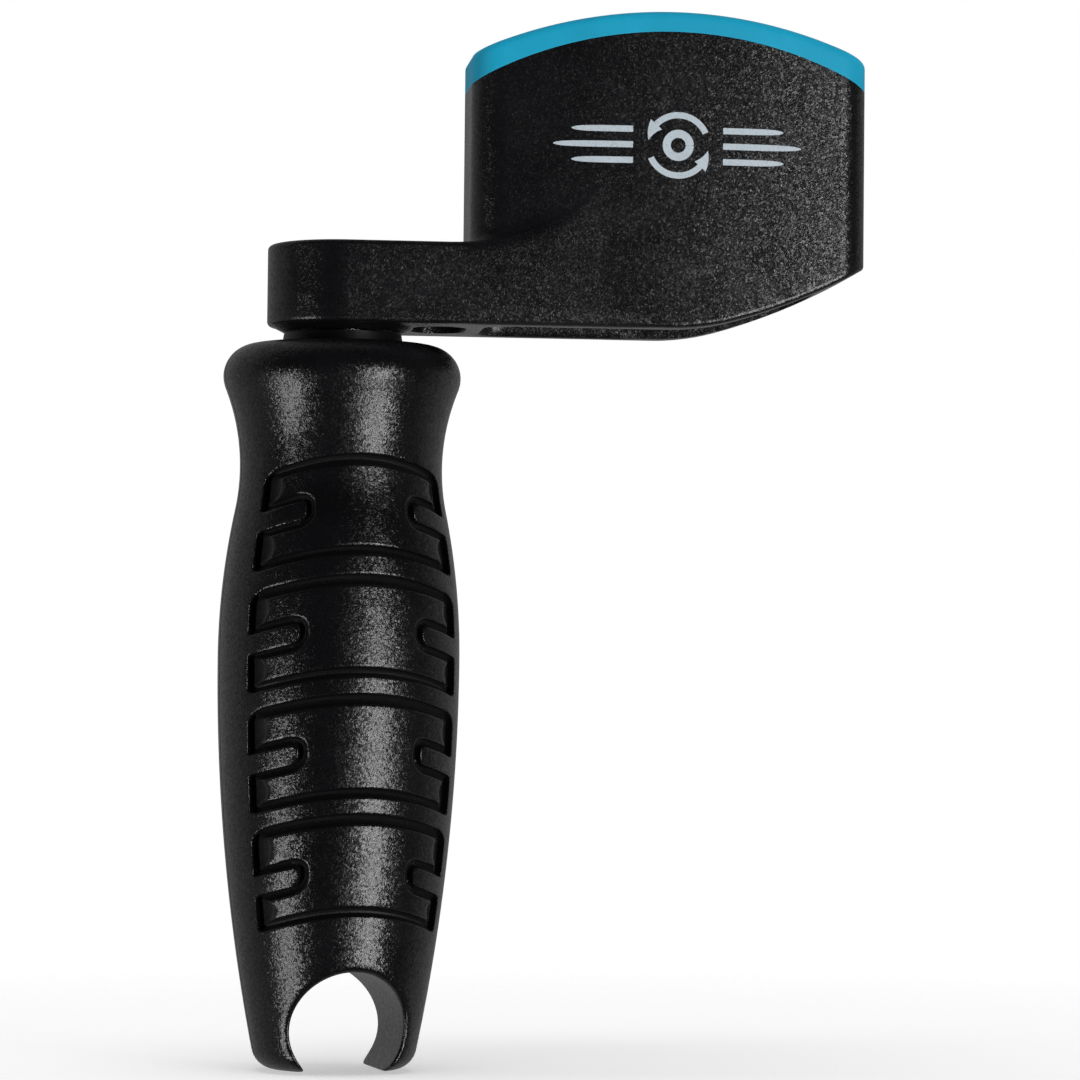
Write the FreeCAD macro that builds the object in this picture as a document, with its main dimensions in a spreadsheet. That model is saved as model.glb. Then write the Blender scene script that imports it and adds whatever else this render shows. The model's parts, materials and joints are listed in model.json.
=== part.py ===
"""A hand-cranked string winder: a cup that fits over a tuner's button, a flat arm and a spinning grip.

Frame: the origin is the middle of the cup's mouth at the crown of its rim. +Z leads out of the cup,
+X from the grip towards the cup, and the front is -Y. Sizes are in millimetres.
"""

import FreeCAD, Part
import os
import re

import Sketcher

DIMENSIONS = {
    # crank: one moulding with the hub, the arm and the cup
    "throw": 32.1,
    "arm_half_width": 7.55,
    "arm_top": -23.4,
    "arm_bottom": -31.5,
    "arm_edge_round": 0.5,
    "under_edge_round": 0.5,
    "web_round": 0.8,
    "cup_half_length": 19.8,
    "cup_half_depth": 7.7,
    "cup_face_round": 150.0,
    "cup_corner": 3.3,
    "cup_wall": 1.6,
    "cup_floor": -22.0,
    "mouth_crown": -2.1,
    "mouth_round": 40.5,
    "rim_round": 48.0,
    "rim_edge_round": 0.9,
    "rim_inner_round": 0.4,
    "gusset_start": -22.0,
    "gusset_end": -6.0,
    "gusset_round": 22.0,
    "heel_start": -0.2,
    "heel_angle": 16.0,
    "heel_round": 24.0,
    "toe_round": 60.0,
    "hub_core_left": -25.3,
    "hub_core_right": -19.8,
    "hub_core_half_width": 3.85,
    "hub_core_corner": 2.6,
    "hub_core_top": -25.4,
    "cup_core_left": -18.3,
    "cup_core_right": 15.0,
    "cup_core_half_width": 5.3,
    "cup_core_corner": 2.5,
    "cup_core_top": -24.5,
    "boss_bottom": -32.05,
    "boss_top_radius": 7.0,
    "boss_radius": 5.93,
    "axle_hole_end": -25.2,
    # rubber liner of the cup
    "liner_wall": 1.5,
    "liner_floor": 1.0,
    "liner_inner_corner": 1.2,
    # handle outline, from its top to its foot
    "handle_spin": 8.5,
    "handle_top": -33.3,
    "shoulder_round": 3.2,
    "waist_radius": 10.05,
    "waist_round": 21.0,
    "belly_radius": 12.0,
    "belly_height": -64.5,
    "belly_upper_round": 72.0,
    "belly_lower_round": 195.0,
    "foot_round": 2.4,
    "handle_bottom": -105.0,
    # bridge-pin notch through the foot
    "notch_radius": 5.7,
    "notch_height": -100.75,
    # grip panels, each a land inside an engraved groove
    "groove_depth": 0.85,
    "groove_width": 0.95,
    "panel_reach": 0.86,
    "panel_arch": 1.9,
    "finger_reach": 0.49,
    "finger_half_height": 0.97,
    # inside of the handle
    "chamber_radius": 7.45,
    "belly_chamber_radius": 9.0,
    "foot_chamber_radius": 7.0,
    "chamber_bottom": -92.0,
    "stiffener_height": -76.0,
    "stiffener_half": 0.8,
    "rib": 1.2,
    "seat_grip": 1.0,
    "dowel_radius": 1.0,
    "dowel_length": 2.5,
    "dowel_gap": 0.05,
    "dowel_end_gap": 0.6,
    "dowel_boss_radius": 1.9,
    "dowel_boss_length": 5.0,
    "dowel_offset": 6.3,
    "dowel_upper_height": -48.0,
    "dowel_lower_height": -84.0,
    # collar in the handle's top
    "collar_top": -32.2,
    "collar_top_radius": 5.86,
    "collar_radius": 6.03,
    "collar_spigot_radius": 5.5,
    "collar_bore": 3.6,
    # axle and what is stacked on it
    "axle_radius": 2.5,
    "axle_top": -25.3,
    "axle_end": -62.0,
    "axle_chamfer": 0.4,
    "spacer_radius": 3.3,
    "washer_radius": 3.6,
    "washer_thickness": 0.5,
    "clip_groove_radius": 2.0,
    "clip_radius": 3.9,
    "clip_thickness": 0.6,
    "clip_gap": 0.05,
    "clip_mouth": 3.0,
    # ball bearings
    "upper_bearing": -37.6,
    "lower_bearing": -57.6,
    "bearing_half_width": 2.0,
    "bearing_radius": 5.0,
    "bearing_shoulder": 4.4,
    "ball_circle": 3.75,
    "ball_radius": 0.794,
    "race_radius": 0.82,
    "inner_land": 3.25,
    "outer_land": 4.25,
    "shield_seat": 4.6,
    "shield_bore": 3.4,
    "shield_inset": 1.65,
    "shield_thickness": 0.25,
    "cage_inner": 3.42,
    "cage_outer": 4.08,
    "cage_bottom": -1.3,
    "cage_top": 0.2,
    "cage_pocket": 0.83,
}
BALLS = 8
# the groove round each grip panel: the heights of its upper edge, its lower edge and its fingers
PANELS = ((-44.6, -54.45, -49.5), (-56.4, -66.3, -61.5), (-68.0, -78.0, -73.2), (-79.6, -89.5, -85.0))

document = FreeCAD.newDocument("string_winder")
sheet = document.addObject("Spreadsheet::Sheet", "dims")
for row, (alias, value) in enumerate(DIMENSIONS.items(), start=1):
    sheet.set(f"A{row}", alias)
    sheet.set(f"B{row}", str(value))
    sheet.setAlias(f"B{row}", alias)
document.recompute()


def bound(formula):
    """The formula as an expression, with each dimension's name pointing at its cell."""

    def cell(word):
        return f"dims.{word[0]}" if word[0] in DIMENSIONS else word[0]

    return re.sub(r"[a-z_]+", cell, str(formula))


def number(formula):
    return float(sheet.evalExpression(bound(formula)))


def bind(item, **formulas):
    for name, formula in formulas.items():
        item.setExpression(name.replace("__", "."), bound(formula))


# ---------------------------------------------------------------- building blocks


def new_body(name, x=None, z=None, spin=None):
    body = document.addObject("PartDesign::Body", name)
    body.Label = name
    places = {"Placement.Base.x": x, "Placement.Base.z": z, "Placement.Rotation.Angle": spin}
    for path, formula in places.items():
        if formula is not None:
            body.setExpression(path, bound(formula))
    return body


def new_sketch(body, name, plane="XZ_Plane", x=0, height=0):
    """An empty sketch on one of the body's origin planes, moved to x and height."""
    sketch = body.newObject("Sketcher::SketchObject", f"{body.Name}_{name}")
    planes = [feature for feature in body.Origin.OriginFeatures if feature.Role == plane]
    sketch.AttachmentSupport = [(feature, "") for feature in planes]
    sketch.MapMode = "FlatFace"
    upright = "z" if plane == "XY_Plane" else "y"
    bind(sketch, **{"AttachmentOffset__Base__x": x, f"AttachmentOffset__Base__{upright}": height})
    return sketch


def pin_value(sketch, kind, *where, formula):
    index = sketch.addConstraint(Sketcher.Constraint(kind, *where, number(formula)))
    sketch.setExpression(f"Constraints[{index}]", bound(formula))


def add_outline(sketch, corners):
    """A closed outline. A corner is (x, y), or (x, y, r) where the side after it is an arc of radius r.

    An arc turns to the left with "r" and to the right with "-r".
    """
    points = [FreeCAD.Vector(number(corner[0]), number(corner[1]), 0) for corner in corners]
    first = sketch.GeometryCount
    ends = []
    for here, corner in enumerate(corners):
        start, end = points[here], points[(here + 1) % len(points)]
        radius = number(corner[2]) if len(corner) > 2 else 0
        if not radius:
            sketch.addGeometry(Part.LineSegment(start, end))
            ends.append((1, 2))
            continue
        chord = end - start
        side = FreeCAD.Vector(-chord.y, chord.x, 0).normalize()
        rise = max(radius**2 - (chord.Length / 2) ** 2, 0) ** 0.5
        centre = (start + end) / 2 + side * (rise if radius > 0 else -rise)
        low, high = (start, end) if radius > 0 else (end, start)
        circle = Part.Circle(centre, FreeCAD.Vector(0, 0, 1), abs(radius))
        sketch.addGeometry(Part.ArcOfCircle(circle, circle.parameter(low), circle.parameter(high)))
        ends.append((1, 2) if radius > 0 else (2, 1))
    for here, corner in enumerate(corners):
        following = (here + 1) % len(corners)
        meet = (first + here, ends[here][1], first + following, ends[following][0])
        sketch.addConstraint(Sketcher.Constraint("Coincident", *meet))
        pin_value(sketch, "DistanceX", -1, 1, first + here, ends[here][0], formula=corner[0])
        pin_value(sketch, "DistanceY", -1, 1, first + here, ends[here][0], formula=corner[1])
        if ends[here] != (1, 2) or len(corner) > 2:
            radius = corner[2][1:] if corner[2].startswith("-") else corner[2]
            pin_value(sketch, "Radius", first + here, formula=radius)


def add_circle(sketch, radius, x=0, y=0):
    centre = FreeCAD.Vector(number(x), number(y), 0)
    index = sketch.addGeometry(Part.Circle(centre, FreeCAD.Vector(0, 0, 1), number(radius)))
    pin_value(sketch, "Radius", index, formula=radius)
    pin_value(sketch, "DistanceX", -1, 1, index, 3, formula=x)
    pin_value(sketch, "DistanceY", -1, 1, index, 3, formula=y)


def pad(body, sketch, length, both_ways=False, reverse=False):
    feature = body.newObject("PartDesign::Pad", f"{sketch.Name}_pad")
    feature.Profile = sketch
    feature.Midplane = both_ways
    feature.Reversed = reverse
    bind(feature, Length=length)
    document.recompute()
    return feature


def pocket(body, sketch, length, both_ways=False, reverse=False):
    """Cut the sketch's outline, and make sure that the cut took something away."""
    before = body.Shape.Volume
    feature = body.newObject("PartDesign::Pocket", f"{sketch.Name}_pocket")
    feature.Profile = sketch
    feature.Midplane = both_ways
    feature.Reversed = reverse
    bind(feature, Length=length)
    document.recompute()
    assert body.Shape.Volume < before, f"{sketch.Name} cuts nothing"
    return feature


def turn(body, sketch, kind="PartDesign::Revolution", angle=360, reverse=False):
    """Turn the sketch's outline about its own upright axis."""
    feature = body.newObject(kind, f"{sketch.Name}_turned")
    feature.Profile = sketch
    feature.ReferenceAxis = (sketch, ["V_Axis"])
    feature.Angle = angle
    feature.Reversed = reverse
    document.recompute()
    return feature


def round_edges(body, name, radius, chosen):
    """Fillet the edges of the body for which chosen(edge) holds."""
    document.recompute()
    tip = body.Tip
    edges = [f"Edge{index}" for index, edge in enumerate(tip.Shape.Edges, start=1) if chosen(edge)]
    feature = body.newObject("PartDesign::Fillet", f"{body.Name}_{name}")
    feature.Base = (tip, edges)
    bind(feature, Radius=radius)
    document.recompute()
    return feature


def turned_piece(name, corners, z=0):
    """A piece turned about the axle's axis, from its section."""
    body = new_body(name, x="-throw", z=z)
    section = new_sketch(body, "section")
    add_outline(section, corners)
    turn(body, section)
    return body


def sleeve(name, inner, outer, bottom, top, z=0):
    return turned_piece(name, [(inner, bottom), (outer, bottom), (outer, top), (inner, top)], z)


# ---------------------------------------------------------------- outlines used more than once


def cup_plan(inset, corner):
    """The cup's plan, drawn in by inset: long sides bowed out a little and round corners."""
    length = f"(cup_half_length - {inset})"
    face = f"(cup_face_round - {inset})"
    face_centre = "(cup_half_depth - cup_face_round)"
    corner_y = f"({face_centre} + sqrt(({face} - {corner})^2 - ({length} - {corner})^2))"
    stretch = f"({face} / ({face} - {corner}))"
    side_x = f"(({length} - {corner}) * {stretch})"
    side_y = f"({face_centre} + ({corner_y} - {face_centre}) * {stretch})"
    return [
        (f"-{side_x}", f"-{side_y}", face),
        (side_x, f"-{side_y}", corner),
        (length, f"-{corner_y}"),
        (length, corner_y, corner),
        (side_x, side_y, face),
        (f"-{side_x}", side_y, corner),
        (f"-{length}", corner_y),
        (f"-{length}", f"-{corner_y}", corner),
    ]


def round_box(left, right, half_width, corner):
    return [
        (f"{left} + {corner}", f"-{half_width}"),
        (f"{right} - {corner}", f"-{half_width}", corner),
        (right, f"{corner} - {half_width}"),
        (right, f"{half_width} - {corner}", corner),
        (f"{right} - {corner}", half_width),
        (f"{left} + {corner}", half_width, corner),
        (left, f"{half_width} - {corner}"),
        (left, f"{corner} - {half_width}", corner),
    ]


def arch(crown, radius, far):
    """The outline between an arch over the whole cup and a level line at far."""
    reach = "(cup_half_length + 2)"
    foot = f"({crown} - {radius} + sqrt({radius}^2 - {reach}^2))"
    return [(reach, foot, radius), (f"-{reach}", foot), (f"-{reach}", far), (reach, far)]


def handle_outline(inset):
    """Half of the handle's section, drawn in by inset: shoulder, waist, belly and foot."""
    upper_r = "(belly_radius - belly_upper_round)"
    lower_r = "(belly_radius - belly_lower_round)"
    waist_r = "(waist_radius + waist_round)"
    reach = "(belly_upper_round + waist_round)"
    waist_z = f"(belly_height + sqrt({reach}^2 - ({waist_r} - {upper_r})^2))"
    shoulder_z = "(handle_top - shoulder_round)"
    shoulder_r = f"({waist_r} - sqrt((waist_round + shoulder_round)^2 - ({shoulder_z} - {waist_z})^2))"
    foot_z = "(handle_bottom + foot_round)"
    foot_r = f"({lower_r} + sqrt((belly_lower_round - foot_round)^2 - (belly_height - {foot_z})^2))"

    def between(from_r, from_z, to_r, to_z, distance, whole):
        share = f"(({distance}) / ({whole}))"
        at_r = f"({from_r} + ({to_r} - {from_r}) * {share})"
        at_z = f"({from_z} + ({to_z} - {from_z}) * {share})"
        return at_r, at_z

    upper = f"(belly_upper_round - {inset})"
    lower = f"(belly_lower_round - {inset})"
    waist = f"(waist_round + {inset})"
    shoulder = f"(shoulder_round - {inset})"
    foot = f"(foot_round - {inset})"
    to_foot = between(lower_r, "belly_height", foot_r, foot_z, lower, "belly_lower_round - foot_round")
    to_waist = between(upper_r, "belly_height", waist_r, waist_z, upper, reach)
    to_shoulder = between(waist_r, waist_z, shoulder_r, shoulder_z, waist, "waist_round + shoulder_round")
    return [
        ("0", f"handle_bottom + {inset}"),
        (foot_r, f"handle_bottom + {inset}", foot),
        (*to_foot, lower),
        (f"belly_radius - {inset}", "belly_height", upper),
        (*to_waist, f"-{waist}"),
        (*to_shoulder, shoulder),
        (shoulder_r, f"handle_top - {inset}"),
        ("0", f"handle_top - {inset}"),
    ]


def handle_radius(height):
    """The handle's radius at a height on its belly or its waist, as a formula."""
    rise = f"({height} - belly_height)"
    if number(rise) < 0:
        return f"(belly_radius - belly_lower_round + sqrt(belly_lower_round^2 - {rise}^2))"
    waist_r = "(waist_radius + waist_round)"
    reach = "(belly_upper_round + waist_round)"
    waist_rise = f"sqrt({reach}^2 - ({waist_r} - belly_radius + belly_upper_round)^2)"
    if number(rise) < number(f"{waist_rise} * belly_upper_round / {reach}"):
        return f"(belly_radius - belly_upper_round + sqrt(belly_upper_round^2 - {rise}^2))"
    return f"({waist_r} - sqrt(waist_round^2 - ({rise} - {waist_rise})^2))"


def panel_outline(top, bottom, middle, inset):
    """One grip panel's outline: bowed top and bottom, and a round-ended finger let in from each side."""
    upper_x = f"({handle_radius(top)} * panel_reach - {inset})"
    lower_x = f"({handle_radius(bottom)} * panel_reach - {inset})"
    side_x = f"({handle_radius(middle)} * panel_reach - {inset})"
    finger = f"(finger_half_height + {inset})"
    finger_x = f"({handle_radius(middle)} * finger_reach - finger_half_height)"
    tip_z = f"({middle} - panel_arch * (finger_reach / panel_reach)^2)"
    side_z = f"({middle} - panel_arch)"
    upper_z = f"({top} - {inset} - panel_arch)"
    lower_z = f"({bottom} + {inset} - panel_arch)"
    upper_bow = f"(({upper_x}^2 + panel_arch^2) / (2 * panel_arch))"
    lower_bow = f"(({lower_x}^2 + panel_arch^2) / (2 * panel_arch))"
    return [
        (lower_x, lower_z),
        (side_x, f"{side_z} - {finger}"),
        (finger_x, f"{tip_z} - {finger}", f"-{finger}"),
        (f"{finger_x} - {finger}", tip_z, f"-{finger}"),
        (finger_x, f"{tip_z} + {finger}"),
        (side_x, f"{side_z} + {finger}"),
        (upper_x, upper_z, upper_bow),
        (f"-{upper_x}", upper_z),
        (f"-{side_x}", f"{side_z} + {finger}"),
        (f"-{finger_x}", f"{tip_z} + {finger}", f"-{finger}"),
        (f"{finger} - {finger_x}", tip_z, f"-{finger}"),
        (f"-{finger_x}", f"{tip_z} - {finger}"),
        (f"-{side_x}", f"{side_z} - {finger}"),
        (f"-{lower_x}", lower_z, f"-{lower_bow}"),
    ]


# ---------------------------------------------------------------- crank


def add_hub_and_arm(body):
    arm = new_sketch(body, "arm", "XY_Plane", height="arm_bottom")
    add_outline(
        arm,
        [
            ("-throw", "-arm_half_width"),
            ("gusset_end", "-arm_half_width"),
            ("gusset_end", "arm_half_width"),
            ("-throw", "arm_half_width", "arm_half_width"),
            ("-throw - arm_half_width", "0", "arm_half_width"),
        ],
    )
    pad(body, arm, "arm_top - arm_bottom")


def add_gusset(body):
    """The arm's edge sweeps up over the cup's bowed faces and fades into them."""
    rise = "(gusset_round - sqrt(gusset_round^2 - (gusset_end - gusset_start)^2))"
    gusset = new_sketch(body, "gusset")
    add_outline(
        gusset,
        [
            ("gusset_start", "arm_top - 1"),
            ("gusset_end", "arm_top - 1"),
            ("gusset_end", f"arm_top + {rise}", "-gusset_round"),
            ("gusset_start", "arm_top"),
        ],
    )
    pad(body, gusset, "2 * arm_half_width", both_ways=True)


def cut_underside_curve(body):
    """The underside climbs towards the cup's far end, first on a tight arc and then on a slow one."""
    knee_x = "(heel_start + heel_round * sin(heel_angle))"
    knee_z = "(arm_bottom + heel_round * (1 - cos(heel_angle)))"
    end_x = "(cup_half_length + 1)"
    toe_centre_x = f"({knee_x} - toe_round * sin(heel_angle))"
    toe_centre_z = f"({knee_z} + toe_round * cos(heel_angle))"
    end_z = f"({toe_centre_z} - sqrt(toe_round^2 - ({end_x} - {toe_centre_x})^2))"
    curve = new_sketch(body, "underside")
    add_outline(
        curve,
        [
            ("heel_start", "arm_bottom", "heel_round"),
            (knee_x, knee_z, "toe_round"),
            (end_x, end_z),
            (end_x, "arm_bottom - 1"),
            ("heel_start", "arm_bottom - 1"),
        ],
    )
    pocket(body, curve, "3 * cup_half_depth", both_ways=True)


def round_underside(body):
    """Round the whole outer edge of the underside, but not the seams between its own faces."""
    highest = number("arm_bottom") + 7
    end = number("cup_half_length")

    def is_outer(edge):
        box = edge.BoundBox
        crosses = box.XLength < 0.01 and box.XMax < end - 1
        return box.ZMax < highest and not crosses

    round_edges(body, "under_edge", "under_edge_round", is_outer)


def round_web(body):
    """Fill the inner corner where the cup's end wall stands on the arm."""
    end = -number("cup_half_length")
    top = number("arm_top")

    def in_corner(edge):
        box = edge.BoundBox
        beside_cup = box.XMin > end - 0.01 and box.XMax < end + number("cup_corner")
        return beside_cup and box.ZMin > top - 0.01 and box.ZMax < top + 1

    round_edges(body, "web", "web_round", in_corner)


def make_crank_arm():
    body = new_body("crank_arm")
    add_hub_and_arm(body)
    add_gusset(body)
    top = number("arm_top")
    round_edges(
        body,
        "arm_edge",
        "arm_edge_round",
        lambda edge: edge.BoundBox.ZMin > top - 0.01 and edge.BoundBox.XLength > 1,
    )
    cup = new_sketch(body, "cup", "XY_Plane", height="arm_bottom")
    add_outline(cup, cup_plan("0", "cup_corner"))
    pad(body, cup, "-arm_bottom")

    round_web(body)
    cut_underside_curve(body)
    round_underside(body)

    mouth = new_sketch(body, "mouth")
    add_outline(mouth, arch("mouth_crown", "mouth_round", "1"))
    pocket(body, mouth, "3 * cup_half_depth", both_ways=True)
    cavity = new_sketch(body, "cavity", "XY_Plane")
    add_outline(cavity, cup_plan("cup_wall", "(cup_corner - cup_wall)"))
    pocket(body, cavity, "-cup_floor")

    for name in ("hub_core", "cup_core"):
        core = new_sketch(body, name, "XY_Plane", height="arm_bottom")
        sizes = (f"{name}_left", f"{name}_right", f"{name}_half_width", f"{name}_corner")
        add_outline(core, round_box(*sizes))
        pocket(body, core, f"{name}_top - arm_bottom", reverse=True)

    boss = new_sketch(body, "boss", x="-throw")
    add_outline(
        boss,
        [
            ("0", "boss_bottom"),
            ("boss_radius", "boss_bottom"),
            ("boss_top_radius", "arm_bottom"),
            ("boss_top_radius", "arm_bottom + 1"),
            ("0", "arm_bottom + 1"),
        ],
    )
    turn(body, boss)
    hole = new_sketch(body, "axle_hole", "XY_Plane", height="boss_bottom")
    add_circle(hole, "axle_radius", x="-throw")
    pocket(body, hole, "axle_hole_end - boss_bottom", reverse=True)

    return body


def on_crown(edge):
    """Whether an edge lies on the rim's arched top."""
    rim = number("rim_round")
    return all(abs((corner.X**2 + (corner.Z + rim) ** 2) ** 0.5 - rim) < 0.01 for corner in edge.Vertexes)


def make_cup_liner():
    body = new_body("cup_liner")
    band = new_sketch(body, "band", "XY_Plane", height="-8")
    add_outline(band, cup_plan("0", "cup_corner"))
    pad(body, band, "8")
    under = new_sketch(body, "under_band")
    add_outline(under, arch("mouth_crown", "mouth_round", "-9"))
    pocket(body, under, "3 * cup_half_depth", both_ways=True)
    lining = new_sketch(body, "lining", "XY_Plane", height="cup_floor")
    add_outline(lining, cup_plan("cup_wall", "(cup_corner - cup_wall)"))
    pad(body, lining, "-cup_floor")
    crown = new_sketch(body, "rim")
    add_outline(crown, arch("0", "rim_round", "1"))
    pocket(body, crown, "3 * cup_half_depth", both_ways=True)
    round_edges(body, "rim_edge", "rim_edge_round", on_crown)
    inside = new_sketch(body, "inside", "XY_Plane", height="1")
    add_outline(inside, cup_plan("(cup_wall + liner_wall)", "liner_inner_corner"))
    pocket(body, inside, "1 - cup_floor - liner_floor")
    lip = number("cup_half_depth - cup_wall - liner_wall") + 0.1
    round_edges(
        body,
        "rim_inner_edge",
        "rim_inner_round",
        lambda edge: on_crown(edge) and edge.BoundBox.YMax < lip and edge.BoundBox.YMin > -lip,
    )
    return body


# ---------------------------------------------------------------- handle


def hollow_section():
    """Section of what is taken out of the handle: collar seat, bearing seats, ribs and chambers."""
    upper_top = "(upper_bearing + bearing_half_width)"
    upper_bottom = "(upper_bearing - bearing_half_width)"
    lower_top = "(lower_bearing + bearing_half_width)"
    lower_bottom = "(lower_bearing - bearing_half_width)"
    steps = [
        ("collar_spigot_radius", "(handle_top + 1)", upper_top),
        ("bearing_radius", upper_top, f"({upper_top} - seat_grip)"),
        ("chamber_radius", f"({upper_top} - seat_grip)", f"({upper_bottom} + seat_grip)"),
        ("bearing_radius", f"({upper_bottom} + seat_grip)", upper_bottom),
        ("bearing_shoulder", upper_bottom, f"({upper_bottom} - rib)"),
        ("chamber_radius", f"({upper_bottom} - rib)", f"({lower_top} + rib)"),
        ("bearing_shoulder", f"({lower_top} + rib)", lower_top),
        ("bearing_radius", lower_top, f"({lower_top} - seat_grip)"),
        ("chamber_radius", f"({lower_top} - seat_grip)", f"({lower_bottom} + seat_grip)"),
        ("bearing_radius", f"({lower_bottom} + seat_grip)", lower_bottom),
        ("bearing_shoulder", lower_bottom, f"({lower_bottom} - rib)"),
        ("belly_chamber_radius", f"({lower_bottom} - rib)", "(stiffener_height + stiffener_half)"),
    ]
    corners = [("0", "handle_top + 1")]
    for radius, top, bottom in steps:
        corners += [(radius, top), (radius, bottom)]
    return corners + [("0", "stiffener_height + stiffener_half")]


def make_handle_shell(name, spin, has_dowels):
    """Half of the handle, split through its axis. The front half has dowels and the back half holes."""
    body = new_body(name, x="-throw", spin=spin)
    outside = new_sketch(body, "outside")
    add_outline(outside, handle_outline("0"))
    turn(body, outside, angle=180, reverse=True)

    for index, panel in enumerate(PANELS, start=1):
        groove = new_sketch(body, f"groove_{index}")
        add_outline(groove, panel_outline(*panel, "0"))
        add_outline(groove, panel_outline(*panel, "groove_width"))
        pocket(body, groove, "belly_radius + 1", reverse=True)
    core = new_sketch(body, "core")
    add_outline(core, handle_outline("groove_depth"))
    turn(body, core, angle=180, reverse=True)

    hollow = new_sketch(body, "hollow")
    add_outline(hollow, hollow_section())
    turn(body, hollow, kind="PartDesign::Groove")
    foot_chamber = new_sketch(body, "foot_chamber")
    add_outline(
        foot_chamber,
        [
            ("0", "chamber_bottom"),
            ("foot_chamber_radius", "chamber_bottom"),
            ("belly_chamber_radius", "stiffener_height - stiffener_half"),
            ("0", "stiffener_height - stiffener_half"),
        ],
    )
    turn(body, foot_chamber, kind="PartDesign::Groove")

    sides = ("dowel_offset", "-dowel_offset")
    heights = ("dowel_upper_height", "dowel_lower_height")
    dowel_places = [(side, height) for side in sides for height in heights]
    bosses = new_sketch(body, "bosses")
    for side, height in dowel_places:
        add_circle(bosses, "dowel_boss_radius", side, height)
    pad(body, bosses, "dowel_boss_length")
    dowels = new_sketch(body, "dowels")
    radius = "dowel_radius" if has_dowels else "dowel_radius + dowel_gap"
    for side, height in dowel_places:
        add_circle(dowels, radius, side, height)
    if has_dowels:
        pad(body, dowels, "dowel_length", reverse=True)
    else:
        pocket(body, dowels, "dowel_length + dowel_end_gap", reverse=True)

    notch = new_sketch(body, "notch")
    add_circle(notch, "notch_radius", y="notch_height")
    pocket(body, notch, "belly_radius + 1", reverse=True)
    return body


def make_collar():
    seat = "(upper_bearing + bearing_half_width)"
    return turned_piece(
        "handle_collar",
        [
            ("collar_bore", seat),
            ("collar_spigot_radius", seat),
            ("collar_spigot_radius", "handle_top"),
            ("collar_radius", "handle_top"),
            ("collar_top_radius", "collar_top"),
            ("collar_bore", "collar_top"),
        ],
    )


# ---------------------------------------------------------------- axle and bearings


def make_axle():
    clip_top = "(lower_bearing - bearing_half_width - washer_thickness)"
    clip_bottom = f"({clip_top} - clip_thickness - 2 * clip_gap)"
    return turned_piece(
        "axle",
        [
            ("0", "axle_end"),
            ("axle_radius - axle_chamfer", "axle_end"),
            ("axle_radius", "axle_end + axle_chamfer"),
            ("axle_radius", clip_bottom),
            ("clip_groove_radius", clip_bottom),
            ("clip_groove_radius", clip_top),
            ("axle_radius", clip_top),
            ("axle_radius", "axle_top"),
            ("0", "axle_top"),
        ],
    )


def make_retaining_clip():
    seat = "lower_bearing - bearing_half_width - washer_thickness"
    body = new_body("retaining_clip", x="-throw", z=f"{seat} - clip_gap - clip_thickness")
    ring = new_sketch(body, "ring", "XY_Plane")
    add_circle(ring, "clip_radius")
    add_circle(ring, "clip_groove_radius")
    pad(body, ring, "clip_thickness")
    mouth = new_sketch(body, "mouth", "XY_Plane")
    half = "clip_mouth / 2"
    far = "clip_radius + 1"
    add_outline(mouth, [("0", f"-{half}"), (far, f"-{half}"), (far, half), ("0", half)])
    pocket(body, mouth, "clip_thickness", reverse=True)
    return body


def make_cage(name, height):
    """A crown cage: a ring under the balls' middle with a round pocket for each ball."""
    outer = document.addObject("Part::Cylinder", f"{name}_outside")
    inner = document.addObject("Part::Cylinder", f"{name}_inside")
    bind(outer, Radius="cage_outer", Height="cage_top - cage_bottom", Placement__Base__z="cage_bottom")
    bind(inner, Radius="cage_inner", Height="cage_top - cage_bottom", Placement__Base__z="cage_bottom")
    ring = document.addObject("Part::Cut", f"{name}_ring")
    ring.Base, ring.Tool = outer, inner
    pockets = document.addObject("Part::Compound", f"{name}_pockets")
    pockets.Links = ball_row(f"{name}_pocket", "cage_pocket")
    cage = document.addObject("Part::Cut", name)
    cage.Base, cage.Tool = ring, pockets
    cage.Label = name
    bind(cage, Placement__Base__x="-throw", Placement__Base__z=height)
    return cage


def ball_row(name, radius):
    row = []
    for index in range(BALLS):
        ball = document.addObject("Part::Sphere", f"{name}_{index + 1}")
        angle = 360 / BALLS * index
        bind(
            ball,
            Radius=radius,
            Placement__Base__x=f"ball_circle * cos({angle})",
            Placement__Base__y=f"ball_circle * sin({angle})",
        )
        row.append(ball)
    return row


def make_balls(name, height):
    balls = document.addObject("Part::Compound", name)
    balls.Links = ball_row(f"{name}_ball", "ball_radius")
    balls.Label = name
    bind(balls, Placement__Base__x="-throw", Placement__Base__z=height)
    return balls


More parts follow.
